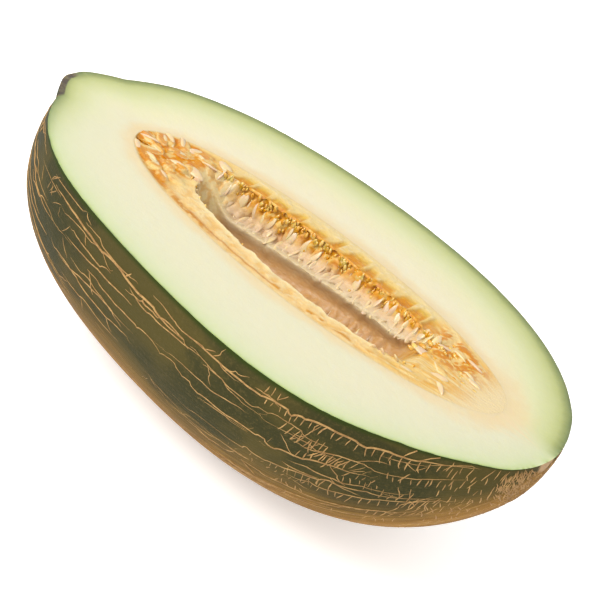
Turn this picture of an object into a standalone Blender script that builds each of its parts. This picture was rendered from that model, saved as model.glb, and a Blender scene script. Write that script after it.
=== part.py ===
"""Half of a long green melon, cut lengthwise through both poles, lying on its rind with the cut face up.

Two solids: melon_flesh, the flesh with its rind and the scooped seed cavity, and seed_pulp, the stringy
seed bed that lines the cavity round an empty hollow, with its seeds fused on. Metres, +Z up.
While a solid is modelled, z = 0 is the cut face and the x axis is the fruit's own axis, with the blossom end
at -x and the stem end at +x. An empty then stands the half on its small flat spot.
"""

import math
import random

import bmesh
import bpy
from mathutils import Matrix, Vector, noise

# Driving dimensions: the blossom end is at -HALF_LENGTH, the stem end at STEM_TIP
HALF_LENGTH = 0.130
STEM_TIP = 0.1324
FLAT_SPOT_CUT = 0.0009
CLEARANCE = 0.0003

# Fruit: an egg whose radius is an ellipse times a swelling polynomial, all as shares of the half length
BODY_START = -0.927
UNDERSIDE_REACH = 0.062
UNDERSIDE_FULLER = 0.014
BODY_SWELL = (0.6486, 0.0284, 0.101, -0.0732)
CORE_RADIUS = 0.444
CORE_REACH = 1.026
NUB_BLEND = 0.12
NEAR_SIDE_FULLER = 0.076
BEND_TO_FAR_SIDE = 0.054
NEAR_EDGE_SWAY = (0.115, -0.140, -0.180)
NEAR_EDGE_SWAY_END = 0.75
NUB_LEANS_FAR = 0.05
NUB_LEAN_MIDDLE = -0.86
NUB_LEAN_SPREAD = 0.09
STEM_END_START = 0.1275
STEM_END_LEAN = -0.0035
STEM_LEAN_START = 0.118
RIND_STATIONS = 40
RIND_SECTORS = 22

# Seed cavity in the flesh, and the teeth of gel along its rim
CAVITY_MIDDLE_X = 0.008
CAVITY_HALF_LENGTH = 0.096
CAVITY_HALF_WIDTH = 0.035
CAVITY_DEPTH = 0.036
CAVITY_OFFSET_Y = 0.0005
CAVITY_SKEW_Y = 0.003
TOOTH_PITCH = 0.0095
TOOTH_HEIGHT = 0.0021
CAVITY_SECTORS = 11
TIP_SHARE = 0.985

# Empty hollow in the pulp, with a pale ridge along each side wall
HOLLOW_OFFSET_Y = -0.0045
HOLLOW_FAR_WIDTH = 0.0262
HOLLOW_NEAR_WIDTH = 0.0185
HOLLOW_LEAST_WIDTH = 0.002
HOLLOW_DEPTH = 0.026
HOLLOW_START = -0.062
HOLLOW_END = 0.068
HOLLOW_RISE = 0.024
HOLLOW_STEPS = 13
RIDGE_TURN_AT_START = math.radians(41)
RIDGE_TURN_AT_END = math.radians(22)
RIDGE_HEIGHT = 0.20
RIDGE_SPREAD = math.radians(8)
PULP_ROUGHNESS = 0.0011
PULP_LUMP_SIZE = 0.007

# Seeds
SEED_LENGTH = 0.0102
SEED_WIDTH = 0.0045
SEED_THICKNESS = 0.0021
SEED_STANDS_PROUD = 0.0008
SEED_SIDES = 6
SEED_RINGS = 3
SEED_DRAW = 7


def clear_scene():
    for item in list(bpy.data.objects):
        bpy.data.objects.remove(item, do_unlink=True)


def finish_material(name, colour, roughness, metallic=0.0):
    material = bpy.data.materials.new(name)
    material.use_nodes = True
    shader = material.node_tree.nodes["Principled BSDF"]
    shader.inputs["Base Color"].default_value = (*colour, 1.0)
    shader.inputs["Roughness"].default_value = roughness
    shader.inputs["Metallic"].default_value = metallic
    return material


def ellipse(share):
    return math.sqrt(max(0.0, 1.0 - share * share))


def smooth_step(value):
    value = min(1.0, max(0.0, value))
    return value * value * (3.0 - 2.0 * value)


def fruit_radius(x, turn):
    """Radius of the whole fruit at x: an egg with a slim core that pokes out as the nub, and a domed end."""
    held = min(x, STEM_END_START)
    share = held / HALF_LENGTH
    under = math.sin(turn)
    middle = (1.0 + BODY_START - UNDERSIDE_REACH * under) / 2
    along = (share - middle) / (1.0 - middle)
    egg = ellipse(along) * sum(c * along**n for n, c in enumerate(BODY_SWELL))
    core = CORE_RADIUS * ellipse((share + 1.0 - CORE_REACH) / CORE_REACH)
    mix = min(1.0, max(0.0, 0.5 + 0.5 * (egg - core) / NUB_BLEND))
    blended = egg * mix + core * (1.0 - mix) + NUB_BLEND * mix * (1.0 - mix)
    dome = math.sqrt(max(0.0, 1.0 - (x - held) / (STEM_TIP - STEM_END_START)))
    return HALF_LENGTH * blended * dome * (1.0 + UNDERSIDE_FULLER * under * under)


def stem_lean(x):
    """How far the stem end leans across at x."""
    share = min(1.0, max(0.0, (x - STEM_LEAN_START) / (STEM_TIP - STEM_LEAN_START)))
    return STEM_END_LEAN * share * share * (3.0 - 2.0 * share)


def edge_sway(x, turn):
    """The fruit isn't quite even: how much wider it is at x, as a share, near each edge of the cut face."""
    share = x / HALF_LENGTH
    held = min(NEAR_EDGE_SWAY_END, max(-NEAR_EDGE_SWAY_END, share))
    first, third, fourth = NEAR_EDGE_SWAY
    near = first * held + third * held**3 + fourth * held**4
    far = NUB_LEANS_FAR * math.exp(-(((share - NUB_LEAN_MIDDLE) / NUB_LEAN_SPREAD) ** 2))
    return near * max(0.0, -math.cos(turn)) ** 3 + far * max(0.0, math.cos(turn)) ** 3


def rind_point(x, turn):
    """A point on the rind. turn runs from 0 at the far edge, under the belly, to pi at the near edge."""
    radius = fruit_radius(x, turn)
    side = 1.0 - NEAR_SIDE_FULLER * math.cos(turn) + edge_sway(x, turn)
    bend = BEND_TO_FAR_SIDE * HALF_LENGTH * (1.0 - (x / HALF_LENGTH) ** 2)
    return Vector((x, bend + stem_lean(x) + radius * side * math.cos(turn), -radius * math.sin(turn)))


def tooth(x):
    """Zigzag from -1 to 1 along the rim, a tooth for each TOOTH_PITCH, uneven in height."""
    phase = x / TOOTH_PITCH
    zigzag = 4.0 * abs(phase - math.floor(phase + 0.5)) - 1.0
    return zigzag * (0.75 + 0.45 * math.sin(phase * 2.3))


def cavity_section(x):
    """Middle, half width and depth of the seed cavity at x."""
    along = (x - CAVITY_MIDDLE_X) / CAVITY_HALF_LENGTH
    fade = ellipse(along)
    return CAVITY_OFFSET_Y + CAVITY_SKEW_Y * along, CAVITY_HALF_WIDTH * fade, CAVITY_DEPTH * fade


def cavity_point(x, turn):
    """A point on the cavity wall. turn is as on the rind."""
    middle, width, depth = cavity_section(x)
    far_side = max(0.0, math.cos(turn)) ** 2
    width += TOOTH_HEIGHT * tooth(x) * far_side * smooth_step(width / CAVITY_HALF_WIDTH * 2)
    return Vector((x, middle + width * math.cos(turn), -depth * math.sin(turn)))


def pulp_wall_point(x, turn):
    """The cavity wall moved inwards, so that the clearance is kept where the wall runs in towards an end."""
    step = 0.0005
    slope = (cavity_point(x + step, turn) - cavity_point(x - step, turn)) / (2 * step)
    inset = min(CLEARANCE * slope.length, CLEARANCE * 4)
    point = cavity_point(x, turn)
    return point + Vector((0.0, -math.cos(turn), math.sin(turn))) * inset


def cavity_stations():
    """Stations along the cavity at each peak and valley of the teeth."""
    step = TOOTH_PITCH / 2
    low = CAVITY_MIDDLE_X - CAVITY_HALF_LENGTH * TIP_SHARE
    high = CAVITY_MIDDLE_X + CAVITY_HALF_LENGTH * TIP_SHARE
    first = math.ceil(low / step)
    last = math.floor(high / step)
    return [n * step for n in range(first, last + 1)]


def hollow_fade(x):
    """1 along the hollow, falling to 0 where the pulp fills the cavity at both ends."""
    start = smooth_step((x - HOLLOW_START) / HOLLOW_RISE)
    return start * smooth_step((HOLLOW_END - x) / HOLLOW_RISE)


def hollow_widths(x):
    """How far the hollow's rim lies from its middle on the far side, and on the pinched near side."""
    far = HOLLOW_FAR_WIDTH * ellipse((x - 0.006) / 0.080)
    near = HOLLOW_NEAR_WIDTH * ellipse((x - 0.010) / 0.062) ** 0.8
    return max(HOLLOW_LEAST_WIDTH, far), max(HOLLOW_LEAST_WIDTH, near)


def ridge_turn(x):
    """The ridge lies deep in the hollow at the blossom end and rises towards the stem end."""
    along = smooth_step((x - HOLLOW_START) / (HOLLOW_END - HOLLOW_START))
    return RIDGE_TURN_AT_START + (RIDGE_TURN_AT_END - RIDGE_TURN_AT_START) * along


def hollow_turns(x):
    """Turns at which the hollow's wall has points: close together over both ridges, even between them."""
    ridge = ridge_turn(x)
    far_wall = [0.0, ridge * 0.4, ridge - RIDGE_SPREAD, ridge, ridge + RIDGE_SPREAD]
    near_wall = [math.pi - turn for turn in reversed(far_wall)]
    count = HOLLOW_STEPS - 8
    gap = (near_wall[0] - far_wall[-1]) / count
    return far_wall + [far_wall[-1] + gap * n for n in range(1, count)] + near_wall


def hollow_point(x, turn):
    """A point on the pulp's top: down the wall of the hollow where there is one, else its filled top."""
    far, near = hollow_widths(x)
    fade = hollow_fade(x)
    pull = 0.0
    for crest in (ridge_turn(x), math.pi - ridge_turn(x)):
        away = (turn - crest) / RIDGE_SPREAD
        pull += fade * RIDGE_HEIGHT * math.exp(-away * away)
    half_width = far if turn < math.pi / 2 else near
    width_there = min(half_width, cavity_section(x)[1] * 0.72)
    across = width_there * math.cos(turn) * (1.0 - pull)
    down = HOLLOW_DEPTH * fade * math.sin(turn) * (1.0 - pull)
    lump = PULP_ROUGHNESS * (noise.noise(Vector((x, across, down)) / PULP_LUMP_SIZE) - 0.6)
    return Vector((x, HOLLOW_OFFSET_Y + across, lump - down))


def loft(name, rings, material, low_tip, high_tip):
    """A closed solid through rings of points round the x axis, ending in a point at both ends."""
    shape = bmesh.new()
    loops = [[shape.verts.new(p) for p in ring] for ring in rings]
    for near, far in zip(loops, loops[1:]):
        for n in range(len(near)):
            after = (n + 1) % len(near)
            shape.faces.new((near[n], near[after], far[after], far[n]))
    for loop, tip in ((loops[0], low_tip), (loops[-1], high_tip)):
        end = shape.verts.new(tip)
        for n in range(len(loop)):
            shape.faces.new((loop[n], loop[(n + 1) % len(loop)], end))
    bmesh.ops.recalc_face_normals(shape, faces=shape.faces)
    mesh = bpy.data.meshes.new(name)
    shape.to_mesh(mesh)
    shape.free()
    mesh.materials.append(material)
    item = bpy.data.objects.new(name, mesh)
    bpy.context.scene.collection.objects.link(item)
    return item


def apply_boolean(item, operation, operand, solver="EXACT"):
    """Cuts or joins with one object, or with a collection of them, and removes what was used."""
    modifier = item.modifiers.new(operation.title(), "BOOLEAN")
    modifier.operation = operation
    modifier.solver = solver
    if isinstance(operand, bpy.types.Collection):
        modifier.operand_type = "COLLECTION"
        modifier.collection = operand
        used = list(operand.objects)
    else:
        modifier.object = operand
        used = [operand]
    bpy.context.view_layer.update()
    evaluated = item.evaluated_get(bpy.context.evaluated_depsgraph_get())
    joined = bpy.data.meshes.new_from_object(evaluated)
    item.modifiers.remove(modifier)
    item.data = joined
    for tool in used:
        bpy.data.objects.remove(tool, do_unlink=True)
    if isinstance(operand, bpy.types.Collection):
        bpy.data.collections.remove(operand)


def half_body(material):
    """The solid half fruit below the cut face."""
    rings = []
    for n in range(1, RIND_STATIONS):
        share = (1.0 - math.cos(math.pi * n / RIND_STATIONS)) / 2
        x = -HALF_LENGTH * (1.0 - share) + STEM_TIP * share
        rings.append([rind_point(x, math.pi * k / RIND_SECTORS) for k in range(RIND_SECTORS + 1)])
    return loft("melon_flesh", rings, material, (-HALF_LENGTH, 0.0, 0.0), (STEM_TIP, STEM_END_LEAN, 0.0))


def flatten_belly(item):
    """Slices off the lowest sliver, which leaves the flat spot to rest on. Returns its height."""
    shape = bmesh.new()
    shape.from_mesh(item.data)
    height = min(v.co.z for v in shape.verts) + FLAT_SPOT_CUT
    everything = [*shape.verts, *shape.edges, *shape.faces]
    cut = bmesh.ops.bisect_plane(
        shape, geom=everything, dist=1e-7, plane_co=(0, 0, height), plane_no=(0, 0, -1), clear_outer=True
    )
    rim = [e for e in cut["geom_cut"] if isinstance(e, bmesh.types.BMEdge)]
    bmesh.ops.contextual_create(shape, geom=rim)
    bmesh.ops.recalc_face_normals(shape, faces=shape.faces)
    shape.to_mesh(item.data)
    shape.free()
    return height


def cavity_tips(inset):
    reach = CAVITY_HALF_LENGTH * (TIP_SHARE + 0.012) - inset
    tips = []
    for sign in (-1.0, 1.0):
        x = CAVITY_MIDDLE_X + sign * reach
        tips.append(Vector((x, cavity_section(x)[0], -0.001)))
    return tips


def cavity_cutter(material):
    """The shape taken out of the flesh: the cavity wall, carried straight up through the cut face."""
    above = Vector((0.0, 0.0, 0.010))
    below = Vector((0.0, 0.0, -0.0004))
    rings = []
    for x in cavity_stations():
        wall = [cavity_point(x, math.pi * k / CAVITY_SECTORS) for k in range(CAVITY_SECTORS + 1)]
        far_edge = [wall[0] + above, wall[0] + below]
        near_edge = [wall[-1] + below, wall[-1] + above]
        rings.append(far_edge + wall[1:-1] + near_edge)
    low, high = cavity_tips(0.0)
    return loft("cavity_cutter", rings, material, low, high)


def pulp_bed(material):
    """The pulp without its seeds: it follows the cavity wall below and dips into the hollow on top."""
    rings = []
    for x in cavity_stations():
        wall = [pulp_wall_point(x, math.pi * k / CAVITY_SECTORS) for k in range(CAVITY_SECTORS + 1)]
        top = [hollow_point(x, turn) for turn in reversed(hollow_turns(x))]
        near_band = wall[-1].lerp(top[0], 0.5)
        far_band = wall[0].lerp(top[-1], 0.5)
        near_band.z = far_band.z = -PULP_ROUGHNESS * abs(noise.noise(Vector((x, 9.0, 0.0)) / PULP_LUMP_SIZE))
        rings.append([*wall, near_band, *top, far_band])
    low, high = cavity_tips(CLEARANCE * 4)
    return loft("seed_pulp", rings, material, low, high)


def seed_mesh():
    """One flat seed, blunt at one end and drawn in towards the end it grew from."""
    shape = bmesh.new()
    bmesh.ops.create_uvsphere(shape, u_segments=SEED_SIDES, v_segments=SEED_RINGS, radius=0.5)
    for v in shape.verts:
        draw_in = 1.0 - 0.35 * max(0.0, v.co.z)
        v.co = Vector((v.co.x * SEED_WIDTH * draw_in, v.co.y * SEED_THICKNESS, v.co.z * SEED_LENGTH))
    mesh = bpy.data.meshes.new("seed")
    shape.to_mesh(mesh)
    shape.free()
    return mesh


def wall_seeds(draw):
    """Rows of seeds on the walls of the hollow. Each row: share of the way down, start, end, count."""
    places = []
    rows = ((0.28, -0.054, 0.060, 21), (0.74, -0.050, 0.054, 19), (1.9, -0.040, 0.044, 8))
    for share, start, end, count in rows:
        for side in (0, 1):
            for n in range(count):
                x = start + (end - start) * (n + draw.uniform(0.25, 0.75)) / count
                turn = ridge_turn(x) * share
                turn = math.pi - turn if side else turn
                spot = hollow_point(x, turn)
                down = hollow_point(x, turn + 0.05) - hollow_point(x, turn - 0.05)
                down = (down if down.z < 0.0 else -down).normalized()
                inward = Vector((0.0, HOLLOW_OFFSET_Y - spot.y, -HOLLOW_DEPTH * 0.2 - spot.z)).normalized()
                lean = Vector((draw.uniform(-0.35, 0.35), 0.0, 0.0))
                flat = inward + Vector((draw.choice((-1.0, 1.0)) * draw.uniform(0.2, 1.4), 0.0, 0.0))
                places.append((spot + inward * draw.uniform(0.0, 0.0009), down + lean, flat))
    return places


def end_seeds(draw):
    """Seeds lying in the pulp at both ends of the hollow, level with the cut face."""
    places = []
    for start, end, count in ((-0.080, -0.058, 22), (0.068, 0.090, 12)):
        for n in range(count):
            x = start + (end - start) * (n + 0.5) / count
            middle, width, _ = cavity_section(x)
            spot = Vector((x, middle + width * 0.62 * math.sin(n * 2.4), -0.0008))
            heading = draw.uniform(-0.9, 0.9)
            direction = Vector((math.cos(heading), math.sin(heading), draw.uniform(-0.25, 0.25)))
            flat = Vector((draw.uniform(-0.5, 0.5), 0.6, draw.uniform(0.2, 0.9)))
            places.append((spot, direction, flat))
    return places


def lay_seeds(material):
    """Every seed as its own object, in one collection."""
    seeds = bpy.data.collections.new("seeds")
    bpy.context.scene.collection.children.link(seeds)
    mesh = seed_mesh()
    mesh.materials.append(material)
    draw = random.Random(SEED_DRAW)
    for spot, direction, flat in wall_seeds(draw) + end_seeds(draw):
        length = direction.normalized()
        top = spot.z + abs(length.z) * SEED_LENGTH / 2
        spot = spot - Vector((0.0, 0.0, max(0.0, top - SEED_STANDS_PROUD)))
        width = length.cross(flat).normalized()
        thickness = width.cross(length)
        seed = bpy.data.objects.new("seed", mesh)
        facing = Matrix((width, -thickness, length)).transposed().to_4x4()
        seed.matrix_world = Matrix.Translation(spot) @ facing
        seeds.objects.link(seed)
    return seeds


def shade(item):
    item.data.shade_smooth()
    item.data.set_sharp_from_angle(angle=math.radians(40))


def main():
    clear_scene()
    rind = finish_material("rind_and_flesh", (0.76, 0.78, 0.50), 0.45)
    gel = finish_material("seed_pulp", (0.86, 0.55, 0.22), 0.35)

    flesh = half_body(rind)
    belly = flatten_belly(flesh)
    apply_boolean(flesh, "DIFFERENCE", cavity_cutter(rind))
    pulp = pulp_bed(gel)
    apply_boolean(pulp, "UNION", lay_seeds(gel), "MANIFOLD")

    across = [v.co.y for v in flesh.data.vertices]
    stand = bpy.data.objects.new("melon_stand", None)
    bpy.context.scene.collection.objects.link(stand)
    stand.location = ((HALF_LENGTH - STEM_TIP) / 2, -(min(across) + max(across)) / 2, -belly)
    for item in (flesh, pulp):
        item.parent = stand
        shade(item)


main()
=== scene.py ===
import math
import random

import bpy
import numpy as np
from mathutils import Matrix, Vector, kdtree, noise


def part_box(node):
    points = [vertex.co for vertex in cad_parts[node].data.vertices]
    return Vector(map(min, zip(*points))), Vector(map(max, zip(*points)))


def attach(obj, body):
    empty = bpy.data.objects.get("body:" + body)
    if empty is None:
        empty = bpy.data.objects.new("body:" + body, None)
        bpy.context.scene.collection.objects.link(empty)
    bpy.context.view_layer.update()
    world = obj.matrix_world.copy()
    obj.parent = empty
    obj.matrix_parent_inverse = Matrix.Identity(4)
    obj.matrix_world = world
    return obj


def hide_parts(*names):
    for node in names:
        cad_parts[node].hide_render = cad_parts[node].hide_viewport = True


# Looks for half of a long green netted melon, lying cut face up.
# Shapes are worked out with x along the fruit, blossom end at -x, and z = 0 at the cut, then put in place.

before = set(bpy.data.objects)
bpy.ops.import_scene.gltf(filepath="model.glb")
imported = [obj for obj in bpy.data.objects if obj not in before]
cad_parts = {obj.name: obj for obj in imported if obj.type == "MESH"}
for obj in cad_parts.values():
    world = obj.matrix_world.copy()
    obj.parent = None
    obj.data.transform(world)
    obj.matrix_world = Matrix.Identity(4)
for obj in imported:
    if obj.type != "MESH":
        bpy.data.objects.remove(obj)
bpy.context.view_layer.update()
print("frame loaded:", ", ".join(sorted(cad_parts)))

fruit = {
    "halfLength": 0.130,
    "bodyStart": -0.927,
    "underReach": 0.062,
    "underFuller": 0.014,
    "swell": (0.6486, 0.0284, 0.101, -0.0732),
    "coreRadius": 0.444,
    "coreReach": 1.026,
    "nubBlend": 0.12,
    "nearFuller": 0.076,
    "bend": 0.054,
    "sway": (0.115, -0.140, -0.180),
    "swayEnd": 0.75,
    "nubLean": 0.05,
    "nubMiddle": -0.86,
    "nubSpread": 0.09,
    "domeStart": 0.1275,
    "stemTip": 0.1324,
    "leanStart": 0.118,
    "stemLean": -0.0035,
    "rings": 200,
    "segments": 256,
    "cutLoops": 46,
    "wave": 0.00035,
}


def smooth(value, start, end):
    share = np.clip((value - start) / (end - start), 0, 1)
    return share * share * (3 - 2 * share)


def fruitRadius(x, turn):
    held = np.minimum(x, fruit["domeStart"])
    share = held / fruit["halfLength"]
    under = np.sin(turn)
    middle = (1 + fruit["bodyStart"] - fruit["underReach"] * under) / 2
    along = (share - middle) / (1 - middle)
    egg = np.sqrt(np.clip(1 - along**2, 0, None)) * sum(c * along**n for n, c in enumerate(fruit["swell"]))
    reach = fruit["coreReach"]
    core = fruit["coreRadius"] * np.sqrt(np.clip(1 - ((share + 1 - reach) / reach) ** 2, 0, None))
    mix = np.clip(0.5 + 0.5 * (egg - core) / fruit["nubBlend"], 0, 1)
    dome = np.sqrt(np.clip(1 - (x - held) / (fruit["stemTip"] - fruit["domeStart"]), 0, 1))
    radius = fruit["halfLength"] * (egg * mix + core * (1 - mix) + fruit["nubBlend"] * mix * (1 - mix))
    return radius * dome * (1 + fruit["underFuller"] * under**2)


# turn: 0 at the far edge of the cut, a quarter turn at the belly, half a turn at the near edge
def rindPoints(x, turn):
    radius = fruitRadius(x, turn)
    share = x / fruit["halfLength"]
    held = np.clip(share, -fruit["swayEnd"], fruit["swayEnd"])
    first, third, fourth = fruit["sway"]
    near = first * held + third * held**3 + fourth * held**4
    far = fruit["nubLean"] * np.exp(-(((share - fruit["nubMiddle"]) / fruit["nubSpread"]) ** 2))
    uneven = near * np.clip(-np.cos(turn), 0, None) ** 3 + far * np.clip(np.cos(turn), 0, None) ** 3
    side = 1 - fruit["nearFuller"] * np.cos(turn) + uneven
    bend = fruit["bend"] * fruit["halfLength"] * (1 - (x / fruit["halfLength"]) ** 2)
    bend = bend + fruit["stemLean"] * smooth(x, fruit["leanStart"], fruit["stemTip"])
    return np.stack([x, bend + radius * side * np.cos(turn), -radius * np.sin(turn)], axis=-1)


# share 0 at the blossom end, 1 at the stem end
def stationAt(share):
    return -fruit["halfLength"] * (1 - share) + fruit["stemTip"] * share


low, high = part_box("melon_flesh")
stations = stationAt(np.linspace(0, 1, 400))
farEdge = rindPoints(stations, np.zeros(400))
nearEdge = rindPoints(stations, np.full(400, math.pi))
shiftX = (fruit["halfLength"] - fruit["stemTip"]) / 2
shiftY = (low.y + high.y - farEdge[:, 1].max() - nearEdge[:, 1].min()) / 2
inPlace = np.array([shiftX, shiftY, high.z])


# Mesh helpers
def allOff():
    bpy.ops.object.select_all(action="DESELECT")


def pick(piece):
    allOff()
    piece.select_set(True)
    bpy.context.view_layer.objects.active = piece


def pointsOf(piece):
    flat = np.zeros(len(piece.data.vertices) * 3)
    piece.data.vertices.foreach_get("co", flat)
    return flat.reshape(-1, 3)


def movePoints(piece, points):
    piece.data.vertices.foreach_set("co", points.ravel())
    piece.data.update()


def putInPlace(piece):
    points = pointsOf(piece) + inPlace
    points[:, 2] = np.maximum(points[:, 2], 0)  # the belly's flat spot
    movePoints(piece, points)


def writeValues(piece, name, values):
    piece.data.attributes.new(name, "FLOAT", "POINT").data.foreach_set("value", values)


def writeVectors(piece, name, values):
    piece.data.attributes.new(name, "FLOAT_VECTOR", "POINT").data.foreach_set("vector", values.ravel())


def writeTints(piece, name, tints):
    full = np.concatenate([tints, np.ones((len(tints), 1))], axis=1)
    piece.data.attributes.new(name, "FLOAT_COLOR", "POINT").data.foreach_set("color", full.ravel())


def grain(points, size, shift=0.0):
    return np.array([noise.noise(p) for p in (points / size + shift).tolist()])


def bell(value, centre, spread):
    return np.exp(-(((value - centre) / spread) ** 2))


def distancesTo(points, outline):
    tree = kdtree.KDTree(len(outline))
    for n, p in enumerate(outline):
        tree.insert(p, n)
    tree.balance()
    return np.array([tree.find(p)[2] for p in points])


def joinPieces(pieces, name):
    allOff()
    for piece in pieces:
        piece.select_set(True)
    bpy.context.view_layer.objects.active = pieces[0]
    bpy.ops.object.join()
    pieces[0].name = name
    return pieces[0]


# Half a globe with its poles on x, open at the cut
def halfGlobe(name, rings, segments):
    allOff()
    bpy.ops.mesh.primitive_uv_sphere_add(
        segments=segments, ring_count=rings, radius=1, rotation=(0, math.pi / 2, 0)
    )
    piece = bpy.context.object
    piece.name = name
    bpy.ops.object.transform_apply(rotation=True)
    bpy.ops.object.mode_set(mode="EDIT")
    bpy.ops.mesh.select_all(action="DESELECT")
    bpy.ops.mesh.select_mode(type="FACE")
    bpy.ops.object.mode_set(mode="OBJECT")
    for face in piece.data.polygons:
        face.select = face.center.z > 0
    bpy.ops.object.mode_set(mode="EDIT")
    bpy.ops.mesh.delete(type="FACE")
    bpy.ops.object.mode_set(mode="OBJECT")
    return piece


def globeTurns(points):
    return np.arctan2(np.clip(-points[:, 2], 0, None), points[:, 1])


# A sheet of squares whose edges are the rows and columns of a plan, u and v from 0 to 1
def flatSheet(name, columns, rows):
    allOff()
    bpy.ops.mesh.primitive_grid_add(x_subdivisions=columns, y_subdivisions=rows, size=2)
    piece = bpy.context.object
    piece.name = name
    plan = pointsOf(piece)
    return piece, (1 + plan[:, 0]) / 2, (1 + plan[:, 1]) / 2


def sealSeams(piece, reach):
    pick(piece)
    bpy.ops.object.mode_set(mode="EDIT")
    bpy.ops.mesh.select_all(action="SELECT")
    bpy.ops.mesh.remove_doubles(threshold=reach)
    bpy.ops.mesh.fill_holes(sides=8)
    bpy.ops.mesh.normals_make_consistent(inside=False)
    bpy.ops.object.mode_set(mode="OBJECT")


# Shader maths
class Wire:
    def __init__(self, finish, socket):
        self.finish = finish
        self.socket = socket

    def work(self, operation, first, second):
        return self.finish.add("ShaderNodeMath", {"operation": operation}, {0: first, 1: second})

    def __add__(self, other):
        return self.work("ADD", self, other)

    def __radd__(self, other):
        return self.work("ADD", other, self)

    def __sub__(self, other):
        return self.work("SUBTRACT", self, other)

    def __rsub__(self, other):
        return self.work("SUBTRACT", other, self)

    def __mul__(self, other):
        return self.work("MULTIPLY", self, other)

    def __rmul__(self, other):
        return self.work("MULTIPLY", other, self)


studioGain = 1.75


# A colour, 0 to 255, as it should look in the studio's bright light
def tone(red, green, blue):
    linear = [((c / 255 + 0.055) / 1.055) ** 2.4 for c in (red, green, blue)]
    return (*(c / studioGain for c in linear), 1.0)


class Finish:
    def __init__(self, name, values):
        self.material = bpy.data.materials.new(name)
        self.material.use_nodes = True
        self.tree = self.material.node_tree
        self.shader = self.tree.nodes["Principled BSDF"]
        for key, value in values.items():
            self.shader.inputs[key].default_value = value

    def add(self, kind, settings=None, values=None, out=0):
        node = self.tree.nodes.new(kind)
        for key, value in (settings or {}).items():
            if key == "stops":
                self.setStops(node.color_ramp, value)
            else:
                setattr(node, key, value)
        for key, value in (values or {}).items():
            if isinstance(value, Wire):
                self.tree.links.new(value.socket, node.inputs[key])
            else:
                node.inputs[key].default_value = value
        return Wire(self, node.outputs[out])

    def setStops(self, ramp, stops):
        while len(ramp.elements) < len(stops):
            ramp.elements.new(0.5)
        for element, (place, colour) in zip(ramp.elements, stops):
            element.position = place
            element.color = tone(*colour)

    def feed(self, socket, wire):
        self.tree.links.new(wire.socket, self.shader.inputs[socket])

    def place(self, stretch=(1, 1, 1)):
        spot = self.add("ShaderNodeTexCoord", out="Object")
        return self.add("ShaderNodeMapping", values={"Vector": spot, "Scale": stretch})

    def value(self, name):
        return self.add("ShaderNodeAttribute", {"attribute_name": name}, out="Fac")

    def tint(self, name):
        return self.add("ShaderNodeAttribute", {"attribute_name": name}, out="Color")

    def vector(self, name, stretch=(1, 1, 1)):
        spot = self.add("ShaderNodeAttribute", {"attribute_name": name}, out="Vector")
        return self.add("ShaderNodeMapping", values={"Vector": spot, "Scale": stretch})

    def cloud(self, spot, scale, detail=3, rough=0.55, bend=0.0):
        values = {"Vector": spot, "Scale": scale, "Detail": detail, "Roughness": rough, "Distortion": bend}
        return self.add("ShaderNodeTexNoise", values=values, out="Fac")

    def rise(self, wire, start, end):
        values = {"Value": wire, "From Min": start, "From Max": end}
        return self.add("ShaderNodeMapRange", {"interpolation_type": "SMOOTHSTEP"}, values)

    def blend(self, share, first, second):
        first, second = (c if isinstance(c, Wire) else tone(*c) for c in (first, second))
        return self.add("ShaderNodeMix", {"data_type": "RGBA"}, {0: share, 6: first, 7: second}, 2)

    def ramp(self, wire, stops):
        return self.add("ShaderNodeValToRGB", {"stops": stops}, {0: wire}, "Color")

    def bump(self, height, distance, strength=1.0):
        values = {"Height": height, "Distance": distance, "Strength": strength}
        self.feed("Normal", self.add("ShaderNodeBump", values=values))


# Seed cavity, and the hollow in the pulp
cavity = {
    "middleX": 0.008,
    "halfLength": 0.096,
    "halfWidth": 0.035,
    "depth": 0.036,
    "offsetY": 0.0005,
    "skewY": 0.003,
}
hollow = {
    "offsetY": -0.0045,
    "farWidth": 0.0262,
    "nearWidth": 0.0185,
    "leastWidth": 0.002,
    "depth": 0.026,
    "start": -0.062,
    "end": 0.068,
    "rise": 0.024,
    "ridgeAtStart": math.radians(41),
    "ridgeAtEnd": math.radians(22),
    "ridgeHeight": 0.20,
    "ridgeSpread": math.radians(8),
}


def cavitySection(x):
    along = (x - cavity["middleX"]) / cavity["halfLength"]
    fade = np.sqrt(np.clip(1 - along**2, 0, None))
    return cavity["offsetY"] + cavity["skewY"] * along, cavity["halfWidth"] * fade, cavity["depth"] * fade


def cavityPoints(x, turn, inset=0.0):
    middle, width, depth = cavitySection(x)
    across = np.maximum(width - inset, 0) * np.cos(turn)
    return np.stack([x, middle + across, -np.maximum(depth - inset, 0) * np.sin(turn)], axis=-1)


def hollowFade(x):
    start = smooth(x, hollow["start"], hollow["start"] + hollow["rise"])
    return start * smooth(-x, -hollow["end"], -hollow["end"] + hollow["rise"])


def hollowWidths(x):
    far = hollow["farWidth"] * np.sqrt(np.clip(1 - ((x - 0.006) / 0.080) ** 2, 0, None))
    near = hollow["nearWidth"] * np.clip(1 - ((x - 0.010) / 0.062) ** 2, 0, None) ** 0.4
    most = cavitySection(x)[1] * 0.72
    return [np.minimum(np.maximum(width, hollow["leastWidth"]), most) for width in (far, near)]


def ridgeTurn(x):
    along = smooth(x, hollow["start"], hollow["end"])
    return hollow["ridgeAtStart"] + (hollow["ridgeAtEnd"] - hollow["ridgeAtStart"]) * along


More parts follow.
